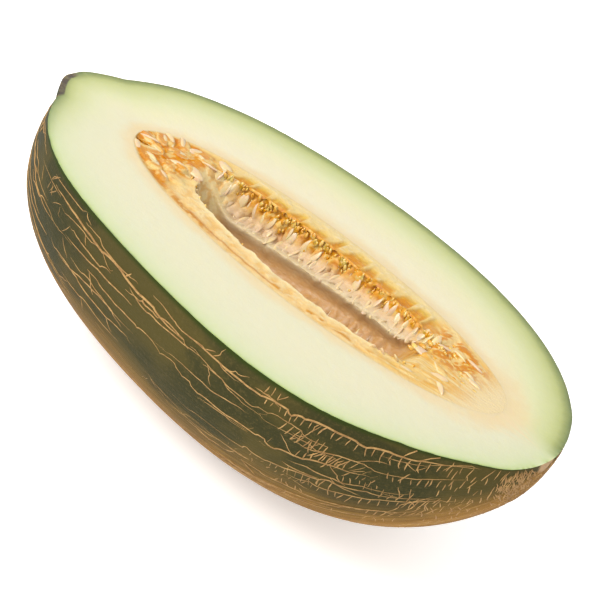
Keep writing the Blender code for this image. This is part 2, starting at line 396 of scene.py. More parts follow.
def hollowPoints(x, turn):
    far, near = hollowWidths(x)
    fade = hollowFade(x)
    ridge = ridgeTurn(x)
    spread = hollow["ridgeSpread"]
    pull = fade * hollow["ridgeHeight"] * (bell(turn, ridge, spread) + bell(turn, math.pi - ridge, spread))
    width = np.where(turn < math.pi / 2, far, near)
    across = width * np.cos(turn) * (1 - pull)
    down = hollow["depth"] * fade * np.sin(turn) * (1 - pull)
    return np.stack([x, hollow["offsetY"] + across, -down], axis=-1)


# Rind: dark green, with a brown belly, and painted shade towards the blossom end
rindLook = {
    "shader": {"Roughness": 0.6, "Specular IOR Level": 0.04},
    "green": ((88, 78, 38), (64, 62, 33)),
    "speckle": (98, 86, 48),
    "blossomPaintedShade": (56, 56, 34),
    "brown": ((146, 100, 34), (188, 138, 62)),
    "brownLines": (212, 164, 84),
    "brownNear": (2.92, 2.36),  # turns where it starts and is full
    "brownFar": (0.22, 0.78),
    "edge": (52, 64, 20),
    "blossomTip": (72, 48, 34),
    "stemScar": (224, 184, 138),
    "relief": 0.0004,
}


def rindFinish():
    look = rindLook
    rind = Finish("nettedRind", look["shader"])
    spot = rind.place()
    turn = rind.value("turn")
    patches = rind.cloud(rind.place((18, 30, 30)), 1.0, 3, 0.6, 0.4)
    speckle = rind.cloud(spot, 700, 3, 0.75)
    streaks = rind.cloud(rind.vector("along", (16, 44, 1)), 1.0, 4, 0.6, 0.2)
    lines = rind.cloud(rind.vector("along", (14, 150, 1)), 1.0, 3, 0.6, 0.1)
    green = rind.blend(rind.rise(patches, 0.42, 0.6), *look["green"])
    green = rind.blend(rind.rise(speckle, 0.48, 0.7) * 0.6, green, look["speckle"])
    length = rind.add("ShaderNodeSeparateXYZ", values={"Vector": rind.vector("along")}, out="X")
    # Painted shade: the green is darkened towards the blossom end, to hold back the key light that falls
    # brighter there
    green = rind.blend(rind.rise(length, 0.02, -0.06) * 0.3, green, look["blossomPaintedShade"])
    brown = rind.blend(rind.rise(streaks, 0.35, 0.7), *look["brown"])
    brown = rind.blend(rind.rise(lines, 0.52, 0.6) * 0.7, brown, look["brownLines"])
    uneven = 0.45  # how far the patches push the brown up and down
    belly = rind.rise(turn + patches * uneven, *look["brownNear"])
    belly = belly * rind.rise(turn - patches * uneven, *look["brownFar"])
    colour = rind.blend(belly * 0.92, green, brown)
    edge = rind.rise(turn + patches * 0.02, 3.112, 3.15) + rind.rise(turn, 0.030, 0.0)
    colour = rind.blend(edge, colour, look["edge"])
    tip = rind.value("tip")
    colour = rind.blend(rind.rise(tip + speckle * 0.4, 0.6, 1.0), colour, look["blossomTip"])
    stemEnd = rind.rise(rind.value("stem") + speckle * 0.5, 0.55, 1.1)
    colour = rind.blend(stemEnd, colour, look["stemScar"])
    rind.feed("Base Color", colour)
    rind.bump(speckle * 0.5 + streaks + lines * 0.6, look["relief"], 0.8)
    return rind.material


# Flesh: its colours go by depth from the rind, as a share of 40 mm
fleshLook = {
    "shader": {
        "Roughness": 0.36,
        "Subsurface Weight": 0.3,
        "Subsurface Radius": (1.0, 0.75, 0.35),
        "Subsurface Scale": 0.005,
    },
    "perMetre": 25,
    "farStops": (
        (0.0, (58, 80, 22)),
        (0.012, (98, 118, 42)),
        (0.038, (133, 148, 62)),
        (0.075, (160, 170, 84)),
        (0.125, (195, 202, 120)),
        (0.20, (213, 218, 144)),
        (0.42, (236, 237, 181)),
        (0.60, (247, 241, 192)),
        (0.90, (251, 241, 202)),
    ),
    "nearStops": (
        (0.0, (96, 118, 44)),
        (0.010, (176, 198, 112)),
        (0.03, (208, 222, 156)),
        (0.08, (222, 230, 176)),
        (0.20, (231, 233, 188)),
        (0.42, (238, 235, 196)),
        (0.70, (242, 236, 198)),
    ),
    "haze": (250, 218, 158),
    "hazeReach": 0.0085,
    "streaks": (253, 222, 170),
    "fibres": (255, 252, 232),
    "nubSkin": ((74, 56, 34), (116, 104, 62)),
    "relief": 0.00035,
}


def fleshFinish():
    look = fleshLook
    flesh = Finish("paleFlesh", look["shader"])
    spot = flesh.place()
    wobble = flesh.cloud(spot, 60, 3, 0.6) - 0.5
    fibre = flesh.cloud(spot, 240, 4, 0.65)
    depth = flesh.value("rindDepth") * look["perMetre"] + wobble * 0.03
    farShade = flesh.ramp(depth, look["farStops"])
    nearShade = flesh.ramp(depth, look["nearStops"])
    shade = flesh.blend(flesh.value("nearSide"), farShade, nearShade)
    haze = flesh.rise(flesh.value("pulpDepth") + wobble * 0.010, look["hazeReach"], 0.0)
    shade = flesh.blend(haze * 0.75, shade, look["haze"])
    streaks = flesh.cloud(flesh.vector("flow", (24, 7, 1)), 1.0, 3, 0.6, 0.3)
    shade = flesh.blend(flesh.value("streak") * flesh.rise(streaks, 0.38, 0.72), shade, look["streaks"])
    shade = flesh.blend(fibre * 0.10, shade, look["fibres"])
    skin = flesh.blend(flesh.rise(fibre, 0.4, 0.6), *look["nubSkin"])
    shade = flesh.blend(flesh.rise(flesh.value("nubSkin") + wobble * 0.5, 0.35, 0.75), shade, skin)
    flesh.feed("Base Color", shade)
    flesh.bump(fibre + wobble, look["relief"], 0.5)
    return flesh.material


stemPole = np.array([fruit["stemTip"], fruit["stemLean"], 0])


# What the rind's finish reads: turn and length, the blossom tip and the stem's scar
def markRind(piece, x, turns, skin):
    writeValues(piece, "turn", turns)
    writeVectors(piece, "along", np.stack([x, turns, np.zeros(len(x))], axis=-1))
    writeValues(piece, "tip", smooth(-x, 0.1265, 0.1305))
    writeValues(piece, "stem", smooth(-np.linalg.norm(skin - stemPole, axis=1), -0.0085, -0.0020))


def makeFlesh():
    body = halfGlobe("melonFlesh", fruit["rings"], fruit["segments"])
    globe = pointsOf(body)
    turns = globeTurns(globe)
    x = stationAt((1 + globe[:, 0]) / 2)
    skin = rindPoints(x, turns)
    radial = np.stack([np.zeros(len(x)), np.cos(turns), -np.sin(turns)], axis=-1)
    below = smooth(turns, 0, 0.12) * smooth(-turns, -math.pi, -math.pi + 0.12)
    lumps = grain(skin, np.array([0.045, 0.022, 0.022])) * fruit["wave"]
    movePoints(body, skin + radial * (lumps * below)[:, None])
    body.data.materials.append(rindFinish())
    markRind(body, x, turns, skin)

    wall = halfGlobe("cavityWall", fruit["rings"], 64)
    globe = pointsOf(wall)
    x = cavity["middleX"] + globe[:, 0] * cavity["halfLength"]
    movePoints(wall, cavityPoints(x, globeTurns(globe)))
    wall.data.materials.append(fleshFinish())

    # The cut face runs from the rind's edge to the cavity's, round from the stem end
    face, around, inwards = flatSheet("cutFace", fruit["rings"] * 2, fruit["cutLoops"])
    rindX = stationAt((1 + np.cos(around * 2 * math.pi)) / 2)
    wallX = cavity["middleX"] + cavity["halfLength"] * np.cos(around * 2 * math.pi)
    edgeTurn = np.where(around < 0.5, 0.0, math.pi)
    share = ((1 - np.cos(inwards * math.pi)) / 2)[:, None]
    edge = rindPoints(rindX, edgeTurn)
    movePoints(face, edge * (1 - share) + cavityPoints(wallX, edgeTurn) * share)
    face.data.materials.append(wall.data.materials[0])
    markRind(face, rindX, edgeTurn, edge)

    body = joinPieces([body, wall, face], "melonFlesh")
    sealSeams(body, 0.00002)
    points = pointsOf(body)

    onCut = np.abs(points[:, 2]) < 1e-6
    outline = np.concatenate([farEdge, nearEdge])
    rim = cavity["middleX"] + cavity["halfLength"] * np.linspace(-1, 1, 500)
    pulpEdge = np.concatenate([cavityPoints(rim, np.zeros(500)), cavityPoints(rim, np.full(500, math.pi))])
    rindDepth = np.where(onCut, distancesTo(points, outline), 0)
    writeValues(body, "rindDepth", rindDepth)
    nub = smooth(-points[:, 0], 0.1150, 0.1215) * smooth(-points[:, 1], -0.006, 0.002)
    writeValues(body, "nubSkin", np.where(onCut, nub * smooth(-rindDepth, -0.0040, -0.0016), 0))
    nearSide = smooth(-points[:, 1], -0.012, 0.004) * smooth(points[:, 0], -0.125, -0.09)
    writeValues(body, "nearSide", nearSide)
    toPulp = distancesTo(points, pulpEdge)
    writeValues(body, "pulpDepth", toPulp * (1 - 0.45 * smooth(points[:, 0], 0.070, 0.100)))
    scar = np.array([0.130, 0.000, 0])
    away = scar - points
    distance = np.linalg.norm(away, axis=1)
    angle = np.arctan2(away[:, 1], away[:, 0])
    writeVectors(body, "flow", np.stack([distance, angle, np.zeros(len(points))], axis=-1))
    streak = smooth(points[:, 0], 0.05, 0.09) * bell(angle, 0.0, 0.45)
    writeValues(body, "streak", streak * smooth(distance, 0.0, 0.02))

    ripple = grain(points, 0.028, 3.0) * 0.00025
    level = onCut & (rindDepth > 1e-4)
    points[:, 2] -= np.where(level, np.abs(ripple), 0) * smooth(toPulp, 0.0003, 0.003)
    movePoints(body, points)
    putInPlace(body)
    pick(body)
    bpy.ops.object.shade_smooth_by_angle(angle=math.radians(40))
    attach(body, "root")
    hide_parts("melon_flesh")
    print("flesh and rind:", len(body.data.polygons), "faces")


# Corky netting on the rind, grown as strands over it
netting = {
    "seed": 11,
    "step": 0.0014,
    "radius": 0.00035,
    "sink": 0.00010,
    "ends": (-0.1275, 0.1321),
    "edgeGap": 0.012,
    "lanes": 48,
    "laneStarts": (-0.124, -0.105),
    "laneStops": (0.126, 0.085, 0.112, 0.060),
    "mains": (  # start, turn below the cut, length, thickness
        (-0.078, 0.105, 0.092, 1.45),
        (0.012, 0.10, 0.112, 1.45),
        (-0.045, 0.29, 0.155, 1.25),
        (0.000, 0.50, 0.120, 1.1),
    ),
    "forks": 560,
    "rungs": 0.95,
    "rungsRise": (0.035, 0.088),
    "rungLength": (0.0055, 0.0110),
    "crackRows": (0.108, 0.1275, 0.0016),
    "crackGap": 0.0072,
    "crackLength": (0.0055, 0.0088),
    "capCracks": 460,
    "bellyLines": 210,
    "cork": ((158, 114, 54), (206, 160, 92)),
}


# wander bends the strand at random, pull straightens it along the fruit, kinks are its sudden turns
def growStrand(draw, x, turn, heading, length, thick, wander, pull=0.0, curl=0.0, kinks=0.85):
    strand = []
    kink = 0.0
    step = netting["step"]
    first, last = netting["ends"]
    gap = netting["edgeGap"]
    steps = max(4, int(length / step))
    for n in range(steps):
        if x < first or x > last or turn < gap or turn > math.pi - gap:
            break
        strand.append((x, turn, thick * min(1.0, 0.35 + 3.2 * min(n, steps - 1 - n) / steps)))
        if draw.random() < 0.22:
            kink = draw.gauss(0, kinks)
        kink *= 0.48
        heading = heading * (1 - pull) + draw.gauss(0, wander) + curl
        x += step * math.cos(heading + kink)
        turn += step * math.sin(heading + kink) / max(0.006, float(fruitRadius(x, turn)))
    return strand if len(strand) > 3 else []


# 0 at the blossom end, 1 at the stem end
def stemShare(x):
    return (x + 0.13) / 0.26


# A heading that leans the same way on both sides of the fruit
def mirrored(heading, turn):
    return heading * (1 if turn > math.pi / 2 else -1)


def longStrands(draw):
    strands = []
    lanes, stops = netting["lanes"], netting["laneStops"]
    for lane in range(lanes):
        turn = 0.04 + (math.pi - 0.08) * (lane + draw.uniform(0.3, 0.7)) / lanes
        x = draw.uniform(*netting["laneStarts"])
        stop = stops[lane % len(stops)] + draw.uniform(-0.008, 0.002)
        while x < stop - 0.006:
            along = stemShare(x)
            length = min(draw.uniform(0.018, 0.050) + 0.05 * along, stop - x)
            thick = draw.uniform(0.50, 0.78) + 0.34 * along
            thick *= 1 - 0.25 * smooth(x, 0.06, 0.11)
            strands.append(growStrand(draw, x, turn, draw.gauss(0, 0.08), length, thick, 0.07, 0.26))
            x += length + draw.uniform(-0.006, 0.012) * (1.1 - along)
            turn += draw.gauss(0, 0.012)
            turn = min(max(turn, 0.03), math.pi - 0.03)
    for x, below, length, thick in netting["mains"]:
        for edge in (math.pi - below, below):
            strands.append(growStrand(draw, x, edge, 0.0, length, thick, 0.05, 0.3))
    return [s for s in strands if s]


def forkStrands(draw, mains):
    strands = []
    for _ in range(netting["forks"]):
        parent = draw.choice(mains)
        x, turn, thick = draw.choice(parent)
        along = stemShare(x)
        if draw.random() > 0.10 + 1.1 * along**1.3:
            continue
        heading = draw.choice((-1, 1)) * draw.uniform(0.5, 1.2)
        length = draw.uniform(0.004, 0.009) + 0.014 * along * draw.random()
        strands.append(growStrand(draw, x, turn, heading, length, max(0.7, thick * 0.8), 0.14, 0.05))
    return strands


# Rungs beside the long strands, in rows like a comb, more of them towards the stem end
def rungStrands(draw, mains):
    strands = []
    for parent in mains:
        n = draw.randrange(6)
        while n < len(parent):
            x, turn, _ = parent[n]
            belly = smooth(min(turn, math.pi - turn), 0.55, 0.85) * smooth(-x, -0.10, -0.07)
            chance = netting["rungs"] * (0.02 + 0.98 * smooth(x, *netting["rungsRise"])) * (1 - belly)
            if draw.random() > chance:
                n += 5
                continue
            lean = draw.uniform(1.05, 1.5) - draw.choice((0, math.pi, math.pi))
            curl = draw.uniform(-0.10, 0.10)
            length = draw.uniform(*netting["rungLength"]) * (1 - 0.35 * smooth(x, 0.10, 0.125))
            row = 2 * draw.randrange(3, 9)
            for x, turn, _ in parent[n : n + row : 2]:
                heading = mirrored(lean + draw.gauss(0, 0.10), turn)
                rung = length * draw.uniform(0.7, 1.05)
                thick = draw.uniform(0.60, 0.95)
                strands.append(growStrand(draw, x, turn, heading, rung, thick, 0.08, curl=curl, kinks=0.25))
            n += row
    return strands


# Short cracks side by side round the stem end, then loose ones on its cap
def stemCracks(draw):
    strands = []
    for x in np.arange(*netting["crackRows"]):
        gap = netting["crackGap"] / float(fruitRadius(x, math.pi / 2))
        for turn in np.arange(0.03, math.pi - 0.03, gap):
            if draw.random() > 0.9 * smooth(x, 0.104, 0.120):
                continue
            turn = float(turn + gap * draw.uniform(-0.2, 0.2))
            length = draw.uniform(*netting["crackLength"])
            heading = mirrored(draw.uniform(1.30, 1.60), turn)
            crack = x + draw.uniform(-0.0005, 0.0005)
            thick = draw.uniform(0.65, 1.0)
            strand = growStrand(draw, crack, turn, heading, length, thick, 0.08, curl=0.03, kinks=0.25)
            strands.append(strand)
    for _ in range(netting["capCracks"]):
        x = fruit["stemTip"] - (fruit["stemTip"] - fruit["domeStart"]) * draw.uniform(0.04, 1.0)
        turn = draw.uniform(0.03, math.pi - 0.03)
        heading = draw.choice((-1, 1)) * draw.uniform(1.42, 1.70)
        length = draw.uniform(0.0035, 0.0070)
        strands.append(growStrand(draw, x, turn, heading, length, draw.uniform(0.6, 0.95), 0.06, kinks=0.2))
    return strands


def bellyStrands(draw):
    strands = []
    for _ in range(netting["bellyLines"]):
        turn = draw.uniform(0.75, 2.39)
        x = draw.uniform(-0.105, 0.07)
        length = draw.uniform(0.03, 0.08)
        strands.append(growStrand(draw, x, turn, 0, length, draw.uniform(0.45, 0.75), 0.03, 0.3))
    return strands


def netStrands():
    draw = random.Random(netting["seed"])
    mains = longStrands(draw)
    small = forkStrands(draw, mains) + rungStrands(draw, mains) + stemCracks(draw) + bellyStrands(draw)
    return mains + [s for s in small if s]


def corkFinish():
    cork = Finish("tanCork", {"Roughness": 0.78})
    spot = cork.place()
    mottle = cork.cloud(spot, 300, 3, 0.6)
    cork.feed("Base Color", cork.blend(cork.rise(mottle, 0.3, 0.7), *netting["cork"]))
    cork.bump(cork.cloud(spot, 2400, 2), 0.0002, 0.6)
    return cork.material


def makeNetting():
    curve = bpy.data.curves.new("corkNetting", "CURVE")
    curve.dimensions = "3D"
    curve.bevel_depth = netting["radius"]
    curve.bevel_resolution = 0
    curve.use_fill_caps = True
    for strand in netStrands():
        x, turn, thick = np.array(strand).T
        radial = np.stack([np.zeros(len(x)), np.cos(turn), -np.sin(turn)], axis=-1)
        path = rindPoints(x, turn) - radial * netting["sink"] + inPlace
        path[:, 2] = np.maximum(path[:, 2], netting["radius"] * 0.5)
        line = curve.splines.new("POLY")
        line.points.add(len(path) - 1)
        line.points.foreach_set("co", np.concatenate([path, np.ones((len(path), 1))], axis=1).ravel())
        line.points.foreach_set("radius", thick)
    piece = bpy.data.objects.new("corkNetting", curve)
    bpy.context.scene.collection.objects.link(piece)
    pick(piece)
    bpy.ops.object.convert(target="MESH")
    piece = bpy.context.object
    piece.data.materials.clear()
    piece.data.materials.append(corkFinish())
    bpy.ops.object.shade_smooth()
    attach(piece, "root")
    print("netting:", len(piece.data.polygons), "faces")


# Seeds, laid out first because the pulp is drawn over them
seeds = {
    "seed": 4,
    "length": 0.0100,
    "width": 0.0045,
    "thickness": 0.0019,
    "rows": (  # share of the way down to the ridge, start, end, count, how deep
        (0.46, -0.056, 0.064, 31, 0.0000),
        (0.76, -0.052, 0.058, 31, 0.0003),
        (1.75, -0.042, 0.048, 20, 0.0006),
        (2.3, -0.036, 0.040, 16, 0.0007),
    ),
    "ends": ((-0.084, -0.055, 20), (0.064, 0.088, 10)),  # start, end, count
    "wallSizes": (0.70, 0.92),
    "endSizes": (0.85, 1.08),
    "shader": {
        "Roughness": 0.32,
        "Subsurface Weight": 0.3,
        "Subsurface Radius": (1.0, 0.6, 0.3),
        "Subsurface Scale": 0.002,
        "Coat Weight": 0.1,
    },
    "husk": ((255, 228, 164), (242, 206, 166)),
}


def unit(vector):
    return vector / max(1e-9, np.linalg.norm(vector))


def layWallSeeds(draw):
    laid = []
    for share, start, end, count, sunk in seeds["rows"]:
        for side in (0, 1):
            for n in range(count):
                x = start + (end - start) * (n + draw.uniform(0.2, 0.8)) / count
                turn = float(ridgeTurn(np.array(x))) * (share + draw.uniform(-0.07, 0.07))
                turn = math.pi - turn if side else turn
                nearby = (turn, turn + 0.05, turn - 0.05)
                spot, ahead, behind = (hollowPoints(np.array(x), np.array(t)) for t in nearby)
                down = unit(ahead - behind)
                down = down if down[2] < 0 else -down
                inward = unit(np.array([0, -math.cos(turn), math.sin(turn)]))
                down = unit(down + np.array([draw.uniform(-0.25, 0.25), 0, 0]))
                tilt = 1.0 if share < 1 else 0.35
                flat = unit(inward + np.array([draw.uniform(-tilt, tilt), 0, 0]))
                spot = spot + inward * (draw.uniform(-0.0006, 0.0006) - sunk)
                laid.append((spot, down, flat, draw.uniform(*seeds["wallSizes"])))
    return laid


def layEndSeeds(draw):
    laid = []
    for start, end, count in seeds["ends"]:
        for n in range(count):
            x = start + (end - start) * (n + draw.uniform(0.2, 0.8)) / count
            middle, width, _ = cavitySection(np.array(x))
            y = float(middle + width * 0.74 * math.sin(n * 2.4))
            heading = draw.uniform(-0.8, 0.8)
            along = unit(np.array([math.cos(heading), math.sin(heading), draw.uniform(-0.2, 0.2)]))
            flat = unit(np.array([draw.uniform(-0.4, 0.4), draw.uniform(-0.9, 0.9), 0.8]))
            laid.append((np.array([x, y, -0.0006]), along, flat, draw.uniform(*seeds["endSizes"])))
    return laid


def seedFinish():
    husk = Finish("creamSeed", seeds["shader"])
    mottle = husk.cloud(husk.place(), 130, 3)
    husk.feed("Base Color", husk.blend(husk.rise(mottle, 0.35, 0.65), *seeds["husk"]))
    return husk.material


def seedShape():
    allOff()
    bpy.ops.mesh.primitive_uv_sphere_add(segments=12, ring_count=8, radius=0.5)
    seed = bpy.context.object
    points = pointsOf(seed)
    narrow = 1 - 0.28 * smooth(points[:, 2], 0.0, 0.5)  # drawn in towards one end
    points[:, 0] *= seeds["width"] * narrow
    points[:, 1] *= seeds["thickness"] * (0.75 + 0.5 * np.abs(points[:, 0]) / seeds["width"])
    points[:, 2] *= seeds["length"]
    movePoints(seed, points)
    return seed


def scatter(name, shape, laid, finish):
    copies = []
    for spot, along, flat, size in laid:
        across = unit(np.cross(flat, along))
        flat = unit(np.cross(along, across))
        turned = Matrix(np.stack([across, flat, along], axis=1).tolist()).to_4x4()
        copy = bpy.data.objects.new(name, shape.data.copy())
        copy.data.transform(Matrix.Translation(Vector(spot + inPlace)) @ turned @ Matrix.Scale(size, 4))
        bpy.context.scene.collection.objects.link(copy)
        copies.append(copy)
    bpy.data.objects.remove(shape, do_unlink=True)
    piece = joinPieces(copies, name)
    piece.data.materials.clear()
    piece.data.materials.append(finish)
    bpy.ops.object.shade_smooth()
    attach(piece, "root")
    return piece


# Pulp: a fine sheet from the far edge, down through the hollow and up to the near edge, closed below
pulp = {
    "seed": 4,
    "columns": 480,
    "rows": 176,
    "farBand": 0.17,
    "nearBand": 0.86,
    "pocketPitch": 0.0095,
    "relief": 0.0004,
    "gloss": 0.012,
    "shader": {
        "Roughness": 0.34,
        "Specular IOR Level": 0.2,
        "Subsurface Weight": 0.25,
        "Subsurface Radius": (1.0, 0.75, 0.3),
        "Subsurface Scale": 0.002,
        "Coat Weight": 0.04,
        "Coat Roughness": 0.15,
    },
    "base": (250, 218, 150),
    "edge": (248, 218, 158),
    "fibres": ((255, 240, 200), (222, 146, 20)),
}


# The gloss adds some white, so the paint below it is that much deeper
def deeper(colour):
    return np.maximum(np.array(tone(*colour)[:3]) - pulp["gloss"], 0.0) / (1 - pulp["gloss"])


# Each layer says how much it covers, 0 to 1 at each point, and its colour
def paint(tints, *layers):
    for share, colour in layers:
        share = np.clip(share, 0, 1)[:, None]
        tints = tints * (1 - share) + deeper(colour) * share
    return tints


def pulpFinish():
    gel = Finish("wetPulp", pulp["shader"])
    light, dark = pulp["fibres"]
    spot = gel.place()
    fibre = gel.cloud(gel.place((1, 2.2, 2.2)), 420, 4, 0.65, 0.4)
    inside = gel.value("inside")
    colour = gel.blend(gel.rise(fibre, 0.5, 0.8) * inside * 0.25, gel.tint("pulpTint"), light)
    colour = gel.blend(gel.rise(fibre, 0.45, 0.25) * inside * 0.30, colour, dark)
    gel.feed("Base Color", colour)
    gel.bump(fibre + gel.cloud(spot, 900, 2) * 0.4, 0.0005, 0.7)
    return gel.material


# How close each point is to a seed, and how far the seed lifts it
def seedPrints(points, laid):
    lift = np.zeros(len(points))
    closeness = np.zeros(len(points))
    for spot, along, flat, size in laid:
        close = np.nonzero(np.abs(points[:, 0] - spot[0]) < 0.009)[0]
        offset = points[close] - spot
        across = unit(np.cross(flat, along))
        a = offset @ along / (seeds["length"] * size * 0.54)
        b = offset @ across / (seeds["width"] * size * 0.50)
        c = offset @ flat / (seeds["thickness"] * size * 1.5)
        reach = np.sqrt(a * a + b * b + c * c)
        lift[close] = np.maximum(lift[close], np.sqrt(np.clip(1 - reach**2, 0, 1)))
        closeness[close] = np.maximum(closeness[close], smooth(-reach, -1.30, -0.85))
    return lift, closeness


# The underside, which lines the cavity and closes the sheet
def pulpUnder(finish):
    under = halfGlobe("pulpUnder", pulp["columns"], 24)
    globe = pointsOf(under)
    ring = np.round(np.arccos(np.clip(-globe[:, 0], -1, 1)) * pulp["columns"] / math.pi) / pulp["columns"]
    x = cavity["middleX"] - cavity["halfLength"] * np.cos(ring * math.pi)
    movePoints(under, cavityPoints(x, globeTurns(globe)))
    writeTints(under, "pulpTint", np.tile(deeper(pulp["edge"]), (len(x), 1)))
    writeValues(under, "inside", np.zeros(len(x)))
    under.data.materials.append(finish)
    return under


def makePulp(laid):
    sheet, u, v = flatSheet("seedPulp", pulp["columns"], pulp["rows"])
    v = 1 - v
    x = cavity["middleX"] - cavity["halfLength"] * np.cos(u * math.pi)
    middle, width, _ = cavitySection(x)
    farBand, nearBand = pulp["farBand"], pulp["nearBand"]
    farShare = np.clip(v / farBand, 0, 1)
    nearShare = np.clip((v - nearBand) / (1 - nearBand), 0, 1)
    turn = np.clip((v - farBand) / (nearBand - farBand), 0, 1) * math.pi
    inHollow = (v > farBand) & (v < nearBand)
    onFar = (v <= farBand) * 1.0
    onNear = (v >= nearBand) * 1.0
    points = hollowPoints(x, turn)
    farEnd = middle + width + (points[:, 1] - middle - width) * farShare
    points[:, 1] = np.where(farShare < 1, farEnd, points[:, 1])
    points[:, 1] += (middle - width - points[:, 1]) * nearShare
    wide = smooth(width, 0.004, 0.016)  # both tips of the sheet narrow to a point
    points[:, 1] = points[:, 1] * wide + (middle + width * (1 - 2 * v)) * (1 - wide)
    inward = np.stack([np.zeros(len(x)), -np.cos(turn), np.sin(turn)], axis=-1)
    inward[~inHollow] = (0, 0, 1)
    fade = hollowFade(x)
    y = points[:, 1]
    lift, nearSeed = seedPrints(points, laid)
    between = 1 - nearSeed

    coarse = grain(points, 0.010)
    medium = grain(points, 0.0042, 7.0)
    fine = grain(points, 0.0018, 13.0)
    ridge = ridgeTurn(x)
    down = turn / ridge
    crest = bell(turn, ridge, hollow["ridgeSpread"] * 0.75) * fade
    nearCrest = bell(turn, math.pi - ridge, hollow["ridgeSpread"] * 0.75) * fade
    seedBelt = smooth(-down, -1.02, -0.86) + smooth(turn, math.pi - ridge, math.pi - ridge * 0.85)
    seedBelt = np.clip(seedBelt, 0, 1) * inHollow * fade
    leftEnd = smooth(-x, 0.048, 0.060)
    rightEnd = smooth(x, 0.050, 0.064)

    # Pockets of gel in the far band, golden at the hollow and fading outwards like flames
    draw = random.Random(pulp["seed"])
    sizes = np.array([draw.uniform(0.3, 1.0) for _ in range(64)])
    leans = np.array([draw.uniform(-0.25, 0.25) for _ in range(64)])
    phase = x / pulp["pocketPitch"] + 0.16 * np.sin(x * 290) + 0.10 * np.sin(x * 740)
    index = np.round(phase).astype(int) + 32
    size = sizes[index]
    outward = 1 - farShare
    flame = outward / (0.45 + 0.50 * size)
    offset = np.abs(phase - np.round(phase) + leans[index] * outward)
    pocket = smooth(0.42 * (1 - 0.55 * flame) - offset + 0.05 * fine, -0.06, 0.10)
    pocket = pocket * smooth(1 - flame + 0.12 * medium, 0.0, 0.40)
    pocket = pocket * onFar * smooth(x, -0.066, -0.054) * smooth(-x, -0.096, -0.084)
    curtain = onFar * smooth(farShare, 0.70, 0.95) * smooth(x, -0.070, -0.058) * smooth(-x, -0.096, -0.086)

    # Prints of seeds on the floor of the hollow
    floorShare = smooth(turn, ridge + 0.10, ridge + 0.35)
    floorShare = floorShare * smooth(-turn, -math.pi + ridge, -math.pi + ridge + 0.3)
    lower = smooth(turn, ridge + 0.35, ridge + 0.65)
    rows = 0.5 + 0.5 * np.sin(x * 2 * math.pi / 0.0043 + 3.0 * coarse + 5.0 * medium + 1.6 * turn)
    prints = smooth(rows, 0.35, 0.8) * lower * floorShare * fade

    height = pulp["relief"] * (medium + 0.75 * coarse + 0.4 * fine)
    height = height + 0.0009 * lift - 0.0012 * seedBelt * between
    height = height + 0.0007 * prints
    height = height - 0.0009 * pocket + 0.0004 * (crest + nearCrest)
    height = height - 0.0007 * leftEnd * between
    height = height * (1 - 0.9 * smooth(x, 0.070, 0.090))
    lip = bell(nearShare, 0.0, 0.10) * (v > nearBand - 0.02) * fade
    height = np.where(inHollow, height, np.minimum(height, 0.0002)) + 0.0003 * lip
    rim = np.minimum(middle + width - y, y - middle + width)
    atRim = smooth(rim, 0.0, 0.0030)
    points = points + inward * (height * atRim)[:, None]
    rag = grain(np.stack([x, x * 0, x * 0], axis=-1), 0.006, 3.0) * 0.0013
    points[:, 1] += rag * bell(v, nearBand, 0.035) * fade

    # The hollow, from its far lip down, with painted glints on its gold and painted light and shade on its
    # two crests
    speck = medium * 0.5 + fine
    gaps = seedBelt * between
    top = smooth(-down, -0.62, -0.26) * inHollow * fade
    bottom = floorShare * fade
    tints = np.tile(deeper(pulp["base"]), (len(x), 1))
    tints = paint(
        tints,
        (inHollow * 1.0, (226, 176, 116)),
        (seedBelt, (244, 206, 150)),
        (seedBelt * smooth(down, 0.45, 0.9), (236, 200, 164)),
        (gaps * smooth(-down, -0.85, -0.45) * (0.9 + 0.5 * coarse), (222, 142, 26)),
        (gaps * smooth(down, 0.55, 0.9) * 0.8, (206, 148, 92)),
        (top * (0.9 + 0.5 * medium), (244, 168, 26)),
        # Painted glints: light cream specks on the gold, painted highlights of the wet gel
        (top * smooth(speck, 0.18, 0.40) * 0.9, (255, 220, 130)),
        (top * smooth(-speck, 0.22, 0.40) * 0.6, (204, 116, 6)),
        (bottom, (226, 174, 112)),
        (prints * 0.8, (240, 202, 164)),
        (bottom * lower * (1 - rows) * 0.7, (196, 132, 58)),
        (bottom * smooth(turn, 1.2, 2.0) * smooth(speck, 0.02, 0.3) * 0.7, (204, 138, 62)),
        (bottom * smooth(-speck, 0.02, 0.3) * 0.5, (234, 196, 156)),
        # The far crest is pale membrane, and partly a painted highlight where the ridge catches the light
        (np.minimum(crest, 0.85), (238, 218, 176)),
        # Painted shade: the near crest takes a darker copy of the far crest's pale colour
        (np.minimum(nearCrest * 1.1, 0.85), (230, 196, 150)),
    )

    # Far band: cream, with golden flames, and painted glints on the gold along its lip
    tints = paint(
        tints,
        (onFar, (250, 224, 160)),
        (onFar * smooth(farShare, 0.1, 0.8) * 0.85, (246, 206, 118)),
        (onFar * smooth(speck, 0.2, 0.45) * 0.6, (255, 236, 190)),
        (curtain * (0.85 + 0.6 * medium), (234, 162, 30)),
        # Painted glints: light specks on the gold along the lip, painted highlights of the wet gel
        (curtain * smooth(speck, 0.22, 0.42) * 0.8, (255, 224, 140)),
        (pocket * 0.95, (232, 192, 84)),
        (pocket * smooth(-flame, -0.85, -0.40) * (0.80 + 0.20 * size), (230, 152, 0)),
        (pocket * smooth(-speck, 0.1, 0.4) * smooth(-flame, -0.6, -0.2) * 0.6, (206, 124, 0)),
        (pocket * smooth(speck, 0.30, 0.50) * 0.5, (252, 206, 90)),
    )
